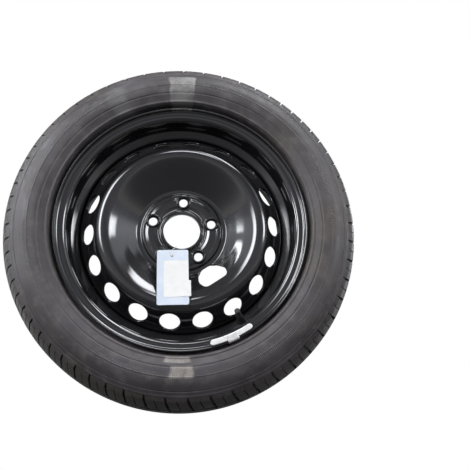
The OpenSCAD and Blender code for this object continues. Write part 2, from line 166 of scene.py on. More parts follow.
# Node graphs
class Nodes:
    """Short names for the nodes of one tree."""

    def __init__(self, tree):
        self.tree = tree

    def node(self, kind, **settings):
        n = self.tree.nodes.new(kind)
        for k, v in settings.items():
            setattr(n, k, v)
        return n

    def feed(self, socket, value):
        if isinstance(value, bpy.types.NodeSocket):
            self.tree.links.new(value, socket)
        else:
            socket.default_value = value

    def math(self, op, *args):
        n = self.node("ShaderNodeMath", operation=op)
        for s, a in zip(n.inputs, args):
            self.feed(s, a)
        return n.outputs[0]

    def times(self, a, b):
        return self.math("MULTIPLY", a, b)

    def ramp(self, value, low, high, a=0.0, b=1.0, kind="SMOOTHSTEP"):
        n = self.node("ShaderNodeMapRange", interpolation_type=kind)
        self.feed(n.inputs["Value"], value)
        for k, x in (("From Min", low), ("From Max", high), ("To Min", a), ("To Max", b)):
            n.inputs[k].default_value = x
        return n.outputs["Result"]

    def band(self, value, low, high, soft):
        """1 between low and high, 0 outside."""
        up = self.ramp(value, low - soft, low + soft)
        down = self.ramp(value, high - soft, high + soft, 1.0, 0.0)
        return self.times(up, down)

    def mix(self, factor, a, b):
        """Mix of two colours."""
        n = self.node("ShaderNodeMix", data_type="RGBA")
        self.feed(n.inputs[0], factor)
        self.feed(n.inputs[6], (*a, 1) if isinstance(a, tuple) else a)
        self.feed(n.inputs[7], (*b, 1) if isinstance(b, tuple) else b)
        return n.outputs[2]

    def mix_value(self, factor, a, b):
        """Mix of two numbers."""
        n = self.node("ShaderNodeMix")
        for socket, value in zip((n.inputs[0], n.inputs[2], n.inputs[3]), (factor, a, b)):
            self.feed(socket, value)
        return n.outputs[0]

    def split(self, vector):
        n = self.node("ShaderNodeSeparateXYZ")
        self.feed(n.inputs[0], vector)
        return n.outputs

    def rays(self, *names):
        """1 on rays of any of the named kinds, else 0."""
        paths = self.node("ShaderNodeLightPath")
        out = paths.outputs[names[0]]
        for name in names[1:]:
            out = self.math("MAXIMUM", out, paths.outputs[name])
        return out


class Graph(Nodes):
    """The nodes of one new material."""

    def __init__(self, name):
        self.mat = bpy.data.materials.new(name)
        self.mat.use_nodes = True
        super().__init__(self.mat.node_tree)
        self.shader = self.tree.nodes["Principled BSDF"]
        self.at = self.node("ShaderNodeTexCoord").outputs["Object"]

    def noise(self, scale, detail=4.0, rough=0.55):
        n = self.node("ShaderNodeTexNoise")
        self.feed(n.inputs["Vector"], self.at)
        n.inputs["Scale"].default_value = scale
        n.inputs["Detail"].default_value = detail
        n.inputs["Roughness"].default_value = rough
        return n.outputs["Fac"]

    def bump(self, height, distance, strength=1.0, under=None):
        n = self.node("ShaderNodeBump")
        n.inputs["Strength"].default_value = strength
        n.inputs["Distance"].default_value = distance
        self.feed(n.inputs["Height"], height)
        if under is not None:
            self.feed(n.inputs["Normal"], under)
        self.feed(self.shader.inputs["Normal"], n.outputs[0])
        return n.outputs[0]

    def set(self, **values):
        for k, v in values.items():
            self.feed(self.shader.inputs[k.replace("_", " ")], (*v, 1) if isinstance(v, tuple) else v)
        return self.mat

    def wheel_polar(self):
        """Radius in metres, angle in degrees seen from the front, and height towards the front."""
        x, y, z = self.split(self.at)
        r = self.math("SQRT", self.math("ADD", self.times(x, x), self.times(z, z)))
        a = self.math("DEGREES", self.math("ARCTAN2", z, x))
        return r, a, self.times(y, -1.0)


# Materials
def plain_finish(name, low, high, rough, metal=0.0, scale=60.0, bump=0.00003):
    """Procedural finish: colour and roughness wander a little between two tones."""
    g = Graph(name)
    n = g.noise(scale)
    g.bump(g.noise(scale * 14, 2.0), bump)
    colour = g.mix(g.ramp(n, 0.35, 0.65), low, high)
    uneven = g.ramp(n, 0.3, 0.7, rough * 0.85, min(1.0, rough * 1.2))
    return g.set(Base_Color=colour, Roughness=uneven, Metallic=metal)


def paint():
    """Gloss black paint with thin dust, and a tape residue on the flange at the top."""
    g = Graph("black_paint")
    r, a, h = g.wheel_polar()
    dust = g.times(g.ramp(g.noise(9.0, 6.0, 0.65), 0.52, 0.78), 0.35)
    tape = g.times(g.band(a, 86.4, 95.7, 0.6), g.band(r, 0.2085, 0.2185, 0.0006))
    tape = g.times(tape, g.band(h, 0.090, 0.101, 0.0005))
    tape = g.times(tape, g.ramp(g.noise(160.0, 5.0), 0.38, 0.56))
    base = g.mix(dust, (0.0045, 0.0038, 0.0050), (0.012, 0.011, 0.012))
    base = g.mix(g.times(tape, 0.5), base, (0.26, 0.25, 0.24))
    haze = g.math("ADD", g.ramp(g.noise(24.0, 5.0), 0.3, 0.75, 0.42, 0.54), g.times(tape, 0.2))
    shine = g.math("ADD", g.ramp(g.noise(16.0, 4.0), 0.3, 0.75, 0.07, 0.12), g.times(tape, 0.4))
    g.bump(g.noise(420.0, 1.0), 0.00002, 0.6)
    # the barrel behind the disc and the disc's back are dull
    front = g.ramp(h, 0.022, 0.034)
    coat = g.times(front, 0.95)
    haze = g.math("ADD", haze, g.times(g.math("SUBTRACT", 1.0, front), 0.3))
    return g.set(Base_Color=base, Roughness=haze, Specular_IOR_Level=0.2,
                 Coat_Weight=coat, Coat_Roughness=shine, Coat_IOR=1.8)


def rubber():
    """Greyed tyre rubber with dust, stains and tape residues, and a browner tread."""
    g = Graph("tyre_rubber")
    r, a, h = g.wheel_polar()
    fine = g.noise(70.0, 4.0)
    front = g.ramp(h, 0.05, 0.06)
    base = g.mix(g.ramp(g.noise(7.0, 7.0, 0.62), 0.35, 0.68), (0.044, 0.039, 0.041), (0.086, 0.078, 0.082))
    base = g.mix(g.ramp(g.noise(5.2, 6.0, 0.6), 0.46, 0.70, 0.0, 0.55), base, (0.094, 0.072, 0.060))
    base = g.mix(g.ramp(g.noise(6.6, 5.0, 0.6), 0.50, 0.72, 0.0, 0.45), base, (0.070, 0.071, 0.090))
    base = g.mix(g.times(g.ramp(fine, 0.45, 0.75), 0.4), base, (0.15, 0.137, 0.126))
    tread = g.ramp(r, 0.2935, 0.2970, 0.0, 0.6)
    base = g.mix(tread, base, (0.052, 0.045, 0.037))

    ragged = g.times(g.math("SUBTRACT", g.noise(45.0, 5.0), 0.5), 3.0)
    wavy = g.math("ADD", a, ragged)
    worn = g.ramp(g.noise(38.0, 6.0, 0.7), 0.30, 0.60, 0.35, 1.0)

    def strip(a_from, a_to, a_soft, r_from, r_to, r_soft):
        """Field of tape between two angles and two radii."""
        return g.times(g.band(wavy, a_from, a_to, a_soft), g.band(r, r_from, r_to, r_soft))

    def residue(under, where, strength, colour):
        """What the tape left, on the front side only."""
        amount = g.times(g.times(where, worn), g.times(front, strength))
        return g.mix(amount, under, colour)

    top = strip(86.2, 96.0, 0.5, 0.221, 0.279, 0.0015)
    left = strip(114.0, 121.0, 2.0, 0.225, 0.282, 0.004)
    low_in = strip(-95.5, -85.5, 0.8, 0.2285, 0.2385, 0.0012)
    low_out = strip(-93.2, -84.8, 0.6, 0.2435, 0.2635, 0.0012)
    base = residue(base, top, g.ramp(r, 0.232, 0.262, 0.40, 0.85), (0.31, 0.30, 0.285))
    base = residue(base, left, 0.4, (0.19, 0.188, 0.19))
    base = residue(base, g.math("MAXIMUM", low_in, low_out), 0.85, (0.33, 0.30, 0.275))

    # fine grain, and radial serrations of 540 a turn on six arcs of the sidewall's blank field
    serration = g.math("SINE", g.times(a, 540 * math.pi / 180))
    arcs = g.ramp(g.math("SINE", g.times(a, 6 * math.pi / 180)), -0.1, 0.1)
    field = g.times(g.band(r, 0.2560, 0.2680, 0.0006), arcs)
    grain = g.bump(g.noise(900.0, 3.0), 0.00012, 0.5)
    g.bump(g.times(serration, g.times(field, front)), 0.0003, 0.6, under=grain)
    return g.set(Base_Color=base, Roughness=g.ramp(fine, 0.3, 0.75, 0.40, 0.66), Specular_IOR_Level=0.5)


PAINT = paint()
RUBBER = rubber()
VALVE_RUBBER = plain_finish("valve_rubber", (0.018, 0.018, 0.019), (0.032, 0.031, 0.031), 0.55, scale=180.0)
BRASS = plain_finish("brass", (0.62, 0.44, 0.19), (0.72, 0.54, 0.26), 0.30, 1.0, 300.0)
RED_SEAL = plain_finish("red_seal", (0.42, 0.03, 0.025), (0.5, 0.05, 0.04), 0.55, scale=400.0)
SPRING = plain_finish("spring_steel", (0.50, 0.50, 0.52), (0.6, 0.6, 0.62), 0.28, 1.0, 400.0)
CAP_PLASTIC = plain_finish("black_plastic", (0.022, 0.022, 0.023), (0.035, 0.035, 0.036), 0.42, scale=240.0)
ZINC = plain_finish("zinc", (0.82, 0.81, 0.79), (0.90, 0.89, 0.87), 0.45, 0.1, 120.0, 0.00005)
CLIP = plain_finish("clip_steel", (0.76, 0.75, 0.73), (0.84, 0.83, 0.81), 0.38, 0.3, 160.0)
SLEEVE = plain_finish("tag_sleeve", (0.55, 0.61, 0.70), (0.62, 0.67, 0.75), 0.32, scale=40.0)
CARD = plain_finish("tag_card", (0.73, 0.72, 0.70), (0.77, 0.76, 0.74), 0.6, scale=90.0)
STRING = plain_finish("tag_string", (0.78, 0.77, 0.73), (0.86, 0.85, 0.82), 0.8, scale=500.0)

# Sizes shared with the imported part
seat_r, flange_at, lip_top_r, flange_roll = 202.8, 82.55, 220.1, 9.5
seat_taper, droop = math.tan(math.radians(5)), math.radians(20)
lip_c = np.array([lip_top_r - flange_roll, flange_at + flange_roll])
lip_front = lip_c[1] + flange_roll * math.sin(droop)
seat_end_r, seat_end = seat_r - 20 * seat_taper, flange_at - 20
ledge_r, well_r, rim_t, well_edge = seat_end_r - 0.4, 185.5, 3.0, 34.0
well_wall_h = (ledge_r - well_r) * math.tan(math.radians(30))
disc_t, inset, pad_front, bore_r, bolt_r = 4.0, 41.0, 45.0, 32.55, 55.0
crown_r, crown_h, slope = 139.5, lip_front - 14 + 2.4, math.radians(49)
skirt_r = well_r - rim_t - 0.1
foot_h = crown_h - (skirt_r - crown_r) * math.tan(slope)
skirt_end = 5.0
VALVE_DEG = -56
VALVE = math.radians(VALVE_DEG)


# Rim
def on_lip(roll, angle):
    """Point at a distance from the middle of the flange's rolled lip."""
    return lip_c + roll * np.array([math.cos(angle), math.sin(angle)])


flange = [
    *[[*on_lip(flange_roll, t), 0] for t in np.linspace(droop, -math.pi / 2, 18)],
    [seat_r, flange_at, 6.5],
    [seat_end_r, seat_end, 3],
    [seat_end_r + 1.3, seat_end - 4, 5],
    [ledge_r, seat_end - 8, 3],
]
well = [
    [ledge_r, well_edge + well_wall_h, 6],
    [well_r, well_edge, 5],
    [well_r, -6, 12],
    [ledge_r, -36, 12],
]


def sheet_outline(front, t, lip):
    """Closed outline of a sheet of thickness t behind a path, with its cut ends broken by lip."""
    back = front - side_of(front) * t

    def end(f, b, away):
        full = (f - b) / t * lip
        near = full * 0.3
        corner, face = away * lip * 0.7, away * lip
        return [f - near + corner, f - full + face, b + full + face, b + near + corner]

    first = end(front[0], back[0], unit(front[0] - front[1]))
    last = end(front[-1], back[-1], unit(front[-1] - front[-2]))
    return np.array([*front, *last, *back[::-1], *reversed(first)])


sheet_lip = 0.45
rim_front = path(flange + well + mirrored(flange), 4.0, 7)
rim_front[0] += unit(rim_front[1] - rim_front[0]) * sheet_lip
rim_front[-1] += unit(rim_front[-2] - rim_front[-1]) * sheet_lip
rim_outline = sheet_outline(rim_front, rim_t, sheet_lip)
turned("rim_shell", rim_outline, PAINT, columns=300, nodes=["rim"], slot="black_paint")

# Disc: its outer face from the collar to the end of the skirt
ring_foot, ring_top, ring_h, pad_edge = 9.8, 5.2, 2, 69.8
face_outline = [
    [bore_r + disc_t + 3.5, pad_front, 0],
    [bolt_r - ring_foot, pad_front, 3],
    [bolt_r - ring_top, pad_front + ring_h, 4],
    [bolt_r + ring_top, pad_front + ring_h, 4],
    [bolt_r + ring_foot, pad_front, 2.5],
    [pad_edge, pad_front, 2.5],
    [pad_edge + 3.2, pad_front - 4, 3.5],
    [pad_edge + 10.2, pad_front - 3.9, 5],
    [97, pad_front + 9.5, 120],
    [114, pad_front + 24.1, 90],
    [crown_r - 15.5, crown_h - 7.6, 32],
    [crown_r + 2.4, crown_h + 1.9, 18],
    [skirt_r, foot_h, 12],
    [skirt_r, skirt_end + 0.4, 0],
]
front = path(face_outline, 5.0, 12)
back = front - side_of(front) * disc_t
fine = path(face_outline, 0.3, 1.5)
fine = fine[np.maximum.accumulate(fine[:, 0]) - fine[:, 0] < 1e-9]
fine_n = side_of(fine)


def on_front(r):
    """Height and outward normal of the disc's outer face at radius r."""
    h = np.interp(r, fine[:, 0], fine[:, 1])
    n = np.stack([np.interp(r, fine[:, 0], fine_n[:, k]) for k in range(2)], -1)
    return h, n / np.linalg.norm(n, axis=-1, keepdims=True)


def surface(r, a, depth=0.0):
    """Points at depth under the disc's outer face."""
    h, n = on_front(r)
    return polar(r - n[..., 0] * depth, a, h - n[..., 1] * depth)


collar_top = pad_front + 5
collar = path([
    [bore_r + 8, inset, 0],
    [bore_r, inset, 0.8],
    [bore_r, collar_top, 0.6],
    [bore_r + disc_t, collar_top, 1.2],
    [bore_r + disc_t, pad_front, 3.5],
    [bore_r + disc_t + 3.6, pad_front, 0]], 3.0, 15)
# its two ends lie in the disc's back and front, which have points of their own there
collar = collar[(np.abs(collar[:, 0] - bore_r - 8) > 1e-3) | (collar[:, 1] > inset + 1)][:-1]
skirt_tip = np.array([
    [skirt_r - 0.15, skirt_end + 0.1],
    [skirt_r - 0.5, skirt_end],
    [skirt_r - disc_t + 0.5, skirt_end],
    [skirt_r - disc_t + 0.15, skirt_end + 0.1]])
loop = np.array([*front, *skirt_tip, *back[::-1], *collar])
COLS = 360
column_a = np.radians(np.arange(COLS) - 180.0)
back_at = len(front) + len(skirt_tip)
disc_v = list(polar(loop[:, 0][:, None], column_a[None, :], loop[:, 1][:, None]).reshape(-1, 3))
holes = np.zeros((len(loop), COLS), bool)
disc_f = []


def row_near(r):
    return int(np.argmin(np.abs(front[:, 0] - r)))


def back_row(i):
    """Row of the disc's back that lies behind row i of its front."""
    return back_at + len(front) - 1 - i


def pierce(r_in, r_out, mid_deg, half_deg, rings):
    """Cuts a block of the disc's grid out, front and back, and fills it with rings round a hole.
    rings(r, a) takes the block's edge and returns point arrays from the front edge to the back edge."""
    i0, i1 = row_near(r_in), row_near(r_out)
    j0 = int(round(mid_deg - half_deg)) + 180
    cols = [(j0 + k) % COLS for k in range(2 * half_deg + 1)]
    edge = [(i0, c) for c in cols[:-1]] + [(i, cols[-1]) for i in range(i0, i1)]
    edge += [(i1, c) for c in reversed(cols[1:])] + [(i, cols[0]) for i in range(i1, i0, -1)]
    for i in range(i0, i1):
        for c in cols[:-1]:
            holes[i][c] = True
            holes[back_row(i + 1)][c] = True
    r = np.array([front[i][0] for i, _ in edge])
    a = math.radians(mid_deg) + np.radians([(c - (mid_deg + 180) + 180) % 360 - 180 for _, c in edge])
    loops = [[i * COLS + c for i, c in edge]]
    for ring in rings(r, a):
        loops.append(list(range(len(disc_v), len(disc_v) + len(edge))))
        disc_v.extend(ring)
    loops.append([back_row(i) * COLS + c for i, c in edge])
    n = len(edge)
    for p, q in zip(loops, loops[1:]):
        disc_f.extend((p[k], p[(k + 1) % n], q[(k + 1) % n], q[k]) for k in range(n))


def edge_steps(e_front, e_back, n=4):
    """(distance outwards from the hole, depth) round a punched edge, front to back."""
    q = [i * math.pi / 2 / n for i in range(n + 1)]
    out = [(e_front * (1 - math.sin(t)), e_front * (1 - math.cos(t))) for t in q]
    out += [(e_back * (1 - math.cos(t)), disc_t - e_back * (1 - math.sin(t))) for t in q]
    return out


# Vent holes
VENTS = 18
vent_r, vent_rad = (crown_r + skirt_r) / 2 + 5, 18.0


def vent(mid):
    """Rings of the vent hole at an angle. The flank is a cone, so the hole is drawn on it unrolled."""
    c = math.cos(slope)
    cone_r = vent_r / c

    def at(x, y, depth):
        reach = np.hypot(cone_r + x, y)
        return surface(reach * c, mid + np.arctan2(y, cone_r + x) / c, depth)

    def rings(r, a):
        turn = (a - mid) * c
        ex, ey = r / c * np.cos(turn) - cone_r, r / c * np.sin(turn)
        way = np.arctan2(ey, ex)

        def circle(rad):
            return rad * np.cos(way), rad * np.sin(way)

        steps = edge_steps(1.3, 0.5)
        sx, sy = circle(vent_rad + steps[0][0])
        out = [at(ex + (sx - ex) * t, ey + (sy - ey) * t, 0.0) for t in (0.2, 0.4, 0.6, 0.8, 0.93)]
        out += [at(*circle(vent_rad + w), d) for w, d in steps]
        out += [at(ex + (sx - ex) * t, ey + (sy - ey) * t, disc_t) for t in (0.9, 0.6, 0.3)]
        return out

    return rings


for k in range(VENTS):
    vent_deg = VALVE_DEG + 360 // VENTS * k
    pierce(r_in=145.0, r_out=180.4, mid_deg=vent_deg, half_deg=10, rings=vent(math.radians(vent_deg)))

# Hand hole
hand_r = 95.0


def hand_outline(grow):
    """Outline of the hand hole round its middle, as (outwards, across) in millimetres."""
    half, tall = 25.0 + grow, 17.0 + grow
    one = [
        [-tall, 0, 0],
        [-tall, half * 0.62, half * 0.7],
        [1.7, half * 1.06, half * 0.5],
        [tall, half * 0.9, 9 + grow],
        [tall, 0, 0]]
    p = path(one, 0.5, 3)
    return np.array([*p, *[[q[0], -q[1]] for q in p[::-1][1:-1]]])


def hand(r, a):
    """Rings of the hand hole."""
    eu, ev = r * np.cos(a - VALVE) - hand_r, r * np.sin(a - VALVE)
    way = np.arctan2(ev, eu)

    def edge(grow):
        p = hand_outline(grow)
        w = np.arctan2(p[:, 1], p[:, 0])
        order = np.argsort(w)
        d = np.hypot(p[:, 0], p[:, 1])[order]
        rad = np.interp(way, w[order], d, period=2 * math.pi)
        return rad * np.cos(way), rad * np.sin(way)

    def at(u, v, depth):
        return surface(np.hypot(hand_r + u, v), VALVE + np.arctan2(v, hand_r + u), depth)

    steps = edge_steps(1.5, 0.5)
    sx, sy = edge(steps[0][0])
    blend = (0.12, 0.25, 0.4, 0.55, 0.7, 0.82, 0.92)
    out = [at(eu + (sx - eu) * t, ev + (sy - ev) * t, 0.0) for t in blend]
    out += [at(*edge(w), d) for w, d in steps]
    out += [at(eu + (sx - eu) * t, ev + (sy - ev) * t, disc_t) for t in reversed(blend)]
    return out


pierce(r_in=75.5, r_out=117.0, mid_deg=VALVE_DEG, half_deg=20, rings=hand)

# Bolt seats: distances from the bolt's axis, and heights from the seat's top, in hole_at from the hub face
BOLTS = 5
hole_r, seat_top, seat_cone, seat_blend = 7.5, pad_front + 4.5, 2.037, 1.2
cone_top, flank_end = 11.05, 15.2
flank_at = (15.0, 14.4, 13.9, 13.5, 13.1, 12.8, 12.5, 12.2, 11.9, 11.6)
seat_at = (
    (11.35, -0.45), (11.15, -0.18), (10.9, -0.04), (10.6, 0.0), (10.35, -0.08), (10.15, -0.3),
    (9.6, -1.22), (8.9, -2.43), (8.2, -3.64), (7.75, -4.42), (7.58, -4.75), (hole_r, -5.1), (hole_r, -6.6))
hole_at = ((hole_r, 0.5), (hole_r + 0.15, 0.15), (hole_r + 0.5, 0.0))


def bolt(mid):
    """Rings of the conical bolt seat at an angle."""

    def place(d, way, h=None, depth=0.0):
        u, v = d * np.cos(way), d * np.sin(way)
        rr, aa = np.hypot(bolt_r + u, v), mid + np.arctan2(v, bolt_r + u)
        return surface(rr, aa, depth) if h is None else polar(rr, aa, h)

    def flank(d, way):
        """Outside of the raised seat, which runs out softly into the pad."""
        sheet_h, _ = on_front(np.hypot(bolt_r + d * np.cos(way), d * np.sin(way)))
        cone = seat_top - (d - cone_top) * seat_cone
        near = np.maximum(seat_blend - np.abs(sheet_h - cone), 0)
        return place(d, way, np.maximum(sheet_h, cone) + near ** 2 / (4 * seat_blend))

    def rings(r, a):
        eu, ev = r * np.cos(a - mid) - bolt_r, r * np.sin(a - mid)
        way, reach = np.arctan2(ev, eu), np.hypot(eu, ev)
        out = [place(reach + (flank_end - reach) * t, way) for t in (0.35, 0.7)]
        out += [flank(d, way) for d in flank_at]
        out += [place(d, way, seat_top + h) for d, h in seat_at]
        out += [place(d, way, inset + h) for d, h in hole_at]
        out += [place(d, way, None, disc_t) for d in (10.0, 12.0, 14.0)]
        return out

    return rings


for k in range(BOLTS):
    bolt_deg = VALVE_DEG + 360 // BOLTS * k
    pierce(r_in=40.5, r_out=69.5, mid_deg=bolt_deg, half_deg=16, rings=bolt(math.radians(bolt_deg)))

disc_faces = grid_faces(len(loop), COLS, skip=holes) + disc_f
piece("disc_pressing", np.array(disc_v), disc_faces, PAINT, nodes=["wheel_disc"], slot="black_paint")

# Tyre
tyre_r, tread_half, section_half, tread_fall = 316.0, 83.0, 107.0, 14.0
shoulder_r = tyre_r - tread_fall
widest_r = seat_r + 0.47 * (tyre_r - seat_r)
bead_r = seat_r + 0.1
tyre_out = [
    [tyre_r - 3.5, tread_half * 0.66, 90],
    [shoulder_r - 1, tread_half + 1, 11],
    [shoulder_r - 16, section_half - 11, 30],
    [widest_r + 14.15, section_half, 32],
    [widest_r - 7.9, section_half, 22],
    [lip_top_r + 7, flange_at + flange_roll + 8, 7],
    [lip_top_r + 4, flange_at + 3, 4],
    [lip_c[0] + 5, flange_at - 2.5, 4],
    [lip_c[0], flange_at - 0.1, 2],
    [bead_r, flange_at - 0.1, 6.5],
    [bead_r - 18 * seat_taper, flange_at - 18, 0]]
tyre_in = [
    [lip_top_r - 4, flange_at - 17, 8],
    [lip_top_r + 12, flange_at + 1, 14],
    [widest_r, section_half - 8, 36],
    [shoulder_r - 18.1, section_half - 16, 24],
    [tyre_r - 17, tread_half - 22, 30]]
toe = tyre_out[-1]
skin = path(mirrored(tyre_out) + [[tyre_r, 0, 400]] + tyre_out, 3.6, 8)
inner = path([toe] + tyre_in + mirrored(tyre_in) + [[toe[0], -toe[1], 0]], 9.0, 15)
skin_n = outward_of(skin, len(skin) // 2)

# Raised and sunk rings of the sidewall: from and to a radius, height and softness
RELIEF = [
    (228.5, 231.0, 1.1, 0.9),
    (244.8, 246.0, -0.6, 0.6),
    (261.0, 262.2, 0.35, 0.5),
    (283.4, 285.0, -0.7, 0.6),
    (291.2, 293.4, 1.2, 0.9)]
block_from, sidewall_from, tread_edge = 50.0, 60, 91


def relief_at(r):
    """Height of the sidewall's rings at a radius."""
    out = np.zeros_like(r)
    for lo, hi, tall, soft in RELIEF:
        up = np.clip((r - lo) / soft + 0.5, 0, 1)
        down = np.clip((hi - r) / soft + 0.5, 0, 1)
        out += tall * np.minimum(up, down)
    return out


def ring_cuts(a, b):
    """Shares of the way from a to b at which a ring of the sidewall starts or ends."""
    if abs(a[1]) <= sidewall_from or abs(b[0] - a[0]) <= 0.1:
        return []
    edges = [e + side * soft / 2 for lo, hi, _, soft in RELIEF for e in (lo, hi) for side in (-1, 1)]
    shares = np.sort((np.array(edges) - a[0]) / (b[0] - a[0]))
    return [t for t in shares if 0.02 < t < 0.98]


# the carcass lies lower under the tread, which stands on it in bands
across = np.abs(skin[:, 1])
under_block = np.interp(across, [block_from, tread_half, tread_edge], [6.6, 6.0, 1.2])
sink = np.where(across < block_from, 7.0, under_block)
sink = np.where((across < tread_edge) & (skin[:, 0] > 280), sink, 0)
sunk = skin - skin_n * sink[:, None]
carcass = []
for a, b in zip(sunk, sunk[1:]):
    carcass += [a, *[a + (b - a) * t for t in ring_cuts(a, b)]]
carcass = np.array([*carcass, sunk[-1]])
raised = np.where(np.abs(carcass[:, 1]) > sidewall_from, relief_at(carcass[:, 0]), 0)
carcass = carcass + outward_of(carcass, len(carcass) // 3) * raised[:, None]
tyre_outline = np.array([*carcass, *inner[1:-1]])
turned("tyre_carcass", tyre_outline, RUBBER, columns=300, nodes=["tyre"], slot="tyre_rubber")

# Tread: its pitches differ in length round the tyre, which keeps its hum down. Degrees a pitch at angles.
PITCHES = 62
PITCH_AT = [-180, -160, -140, -120, -105, -90, -75, -60, -30, 0, 20, 30, 55, 70, 90, 120, 140, 152, 180]
PITCH_LONG = [4.7, 4.7, 4.9, 5.3, 6.1, 7.0, 7.0, 6.7, 6.6, 6.4, 5.0, 4.7, 4.7, 6.2, 6.9, 6.7, 5.2, 4.7, 4.7]
turn_fine = np.linspace(-180, 180, 3601)
pitches_a_step = 0.1 / np.interp(turn_fine[1:] - 0.05, PITCH_AT, PITCH_LONG)
pitch_count = np.concatenate([[0], np.cumsum(pitches_a_step)])
pitch_count *= PITCHES / pitch_count[-1]
first_pitch = float(np.interp(-92.5, turn_fine, pitch_count)) % 1


def turn_of(count):
    """Angle in radians at a number of pitches round the tyre."""
    return math.radians(float(np.interp((count + first_pitch) % PITCHES, pitch_count, turn_fine)))


def band(name, p, n, columns, slant, start):
    """Band of tread: an outline p with normals n, wrapped round the wheel from a start in pitches.
    columns are (share of a pitch, depth of the cut there at each outline point, or None)."""
    out = np.zeros((len(p), PITCHES * len(columns), 3))
    for k in range(PITCHES):
        for j, (share, cut) in enumerate(columns):
            a = turn_of(start + k + share) + slant
            d = np.zeros(len(p)) if cut is None else cut
            out[:, k * len(columns) + j] = polar(p[:, 0] - n[:, 0] * d, a, p[:, 1] - n[:, 1] * d)
    faces = grid_faces(*out.shape[:2])
    return piece(name, out.reshape(-1, 3), faces, RUBBER, sharp=38, slot="tyre_rubber")


def shoulder(name, sign):
    """Shoulder blocks of one side, from the outer ring groove to the edge of the sidewall."""
    keep = (skin[:, 1] * sign > block_from + 0.2) & (skin[:, 0] > 291.5)
    p, n = skin[keep], skin_n[keep]
    if p[0][1] * sign > p[-1][1] * sign:
        p, n = p[::-1], n[::-1]
    start = np.array([np.interp(block_from, p[:, 1] * sign, p[:, 0]), block_from * sign])
    p, n = np.vstack([[start], p]), np.vstack([[n[0]], n])
    far, far_n = p[-1], n[-1]
    # the slots run out to the step down to the sidewall, the sipes stay within the block
    slot = np.interp(p[:, 0], [291.6, 294.5, 301, 306], [0.0, 2.2, 5.2, 6.2])
    sipe = np.interp(p[:, 0], [297, 301, 303], [0.0, 0.8, 3.0]) * (np.abs(p[:, 1]) > 54)
    slot = np.concatenate([[0.0, slot[0]], slot, [0.0, 0.0, 0.0]])
    sipe = np.concatenate([[0.0, 0.0], sipe, [0.0, 0.0, 0.0]])
    wall = p[0] + np.array([-7.4, -0.6 * sign])
    lip = p[0] + np.array([-0.5, -0.05 * sign])
    under = [
        far - far_n * 1.6,
        far - far_n * 2.4 + np.array([0, -6.0 * sign]),
        wall + np.array([-1.0, 4.0 * sign])]
    p = np.vstack([[wall], [lip], p, under])
    n = np.vstack([n[:1], n[:1], n, np.repeat(far_n[None], 3, 0)])
    half = 0.060
    columns = [
        (-half, None), (-half + 0.012, slot), (half - 0.012, slot), (half, None),
        (0.2, None), (0.34, None),
        (0.475, None), (0.482, sipe), (0.512, sipe), (0.519, None),
        (0.66, None), (0.8, None)]
    slant = -math.radians(1.6) * sign * np.clip((np.abs(p[:, 1]) - 53) / 40, 0, 1)
    return band(name, p, n, columns, slant, 0.0 if sign > 0 else 0.5)


def rib(name, lo, hi, notch_side):
    """Rib between two ring grooves, with a notch from one side and a sipe across each pitch."""
    hs = np.linspace(lo, hi, 11)
    order = np.argsort(skin[:, 1])
    p = np.stack([np.interp(hs, skin[order, 1], skin[order, 0]), hs], 1)
    share = (hs - lo) / (hi - lo)
    if notch_side < 0:
        share = 1 - share
    notch = np.where(share < 0.45, 5.0, 0.0)
    sipe = np.where((share > 0.15) & (share < 0.9), 4.0, 0.0)
    notch = np.concatenate([[0.0, notch[0]], notch, [notch[-1], 0.0]])
    sipe = np.concatenate([[0.0, 0.0], sipe, [0.0, 0.0]])
    low, up, edge = np.array([-7.5, -0.6]), np.array([-7.5, 0.6]), np.array([0.4, 0])
    p = np.vstack([[p[0] + low], [p[0] - edge], p, [p[-1] - edge], [p[-1] + up]])
    n = np.tile(np.array([1.0, 0.0]), (len(p), 1))
    columns = [
        (0.0, None), (0.01, notch), (0.10, notch), (0.11, None),
        (0.25, None), (0.4, None),
        (0.54, None), (0.546, sipe), (0.57, sipe), (0.576, None),
        (0.72, None), (0.86, None)]
    slant = np.radians(20) * (p[:, 1] - (lo + hi) / 2) / 315
    return band(name, p, n, columns, slant, 0.1 * notch_side)


shoulder("shoulder_blocks_front", 1)
shoulder("shoulder_blocks_back", -1)
rib("tread_rib_centre", -12.0, 12.0, 1)
rib("tread_rib_front", 20.0, 42.0, -1)
rib("tread_rib_back", -42.0, -20.0, 1)


# Weld runs at the end of the skirt: middle and half sizes of the bead
weld_r, weld_h, weld_half_r, weld_half_h = skirt_r - 2.1, skirt_end - 1.1, 1.6, 2.3


def weld_run(name, first_deg, turn_deg=50, steps=150, sides=10):
    """Bead of weld in the corner of skirt and well, with ripples and run-out ends."""
    a = np.radians(np.linspace(first_deg, first_deg + turn_deg, steps))[:, None]
    t = np.arange(sides) * 2 * math.pi / sides
    step = np.arange(steps)
    to_end = np.minimum(step, steps - 1 - step)
    swell = (1 + 0.10 * np.abs(np.sin(step * 0.55))) * np.sqrt(np.clip(to_end / 5 + 0.02, 0, 1))
    r = weld_r + weld_half_r * np.cos(t)[None, :] * swell[:, None]
    h = weld_h + weld_half_h * np.sin(t)[None, :] * swell[:, None]
    v = polar(r, a, h).reshape(-1, 3)
    return piece(name, v, capped_faces(steps, sides), PAINT, slot="black_paint")


for k in range(4):
    weld_run(f"weld_run_{k + 1}", VALVE_DEG + 20 + 90 * k)

# Valve, in the sloping wall of the well. Its outlines are [radius, height over the wall's open side].
lean = math.radians(30)
wall_r = (ledge_r + well_r) / 2 - 0.4
wall_h = well_edge + (wall_r - well_r) * math.tan(lean)
AXIS = polar(-math.sin(lean), VALVE, math.cos(lean))
OUTWARD = polar(math.cos(lean), VALVE, math.sin(lean))
ACROSS = np.cross(AXIS, OUTWARD)
ROOT = polar(wall_r, VALVE, wall_h) + AXIS * rim_t


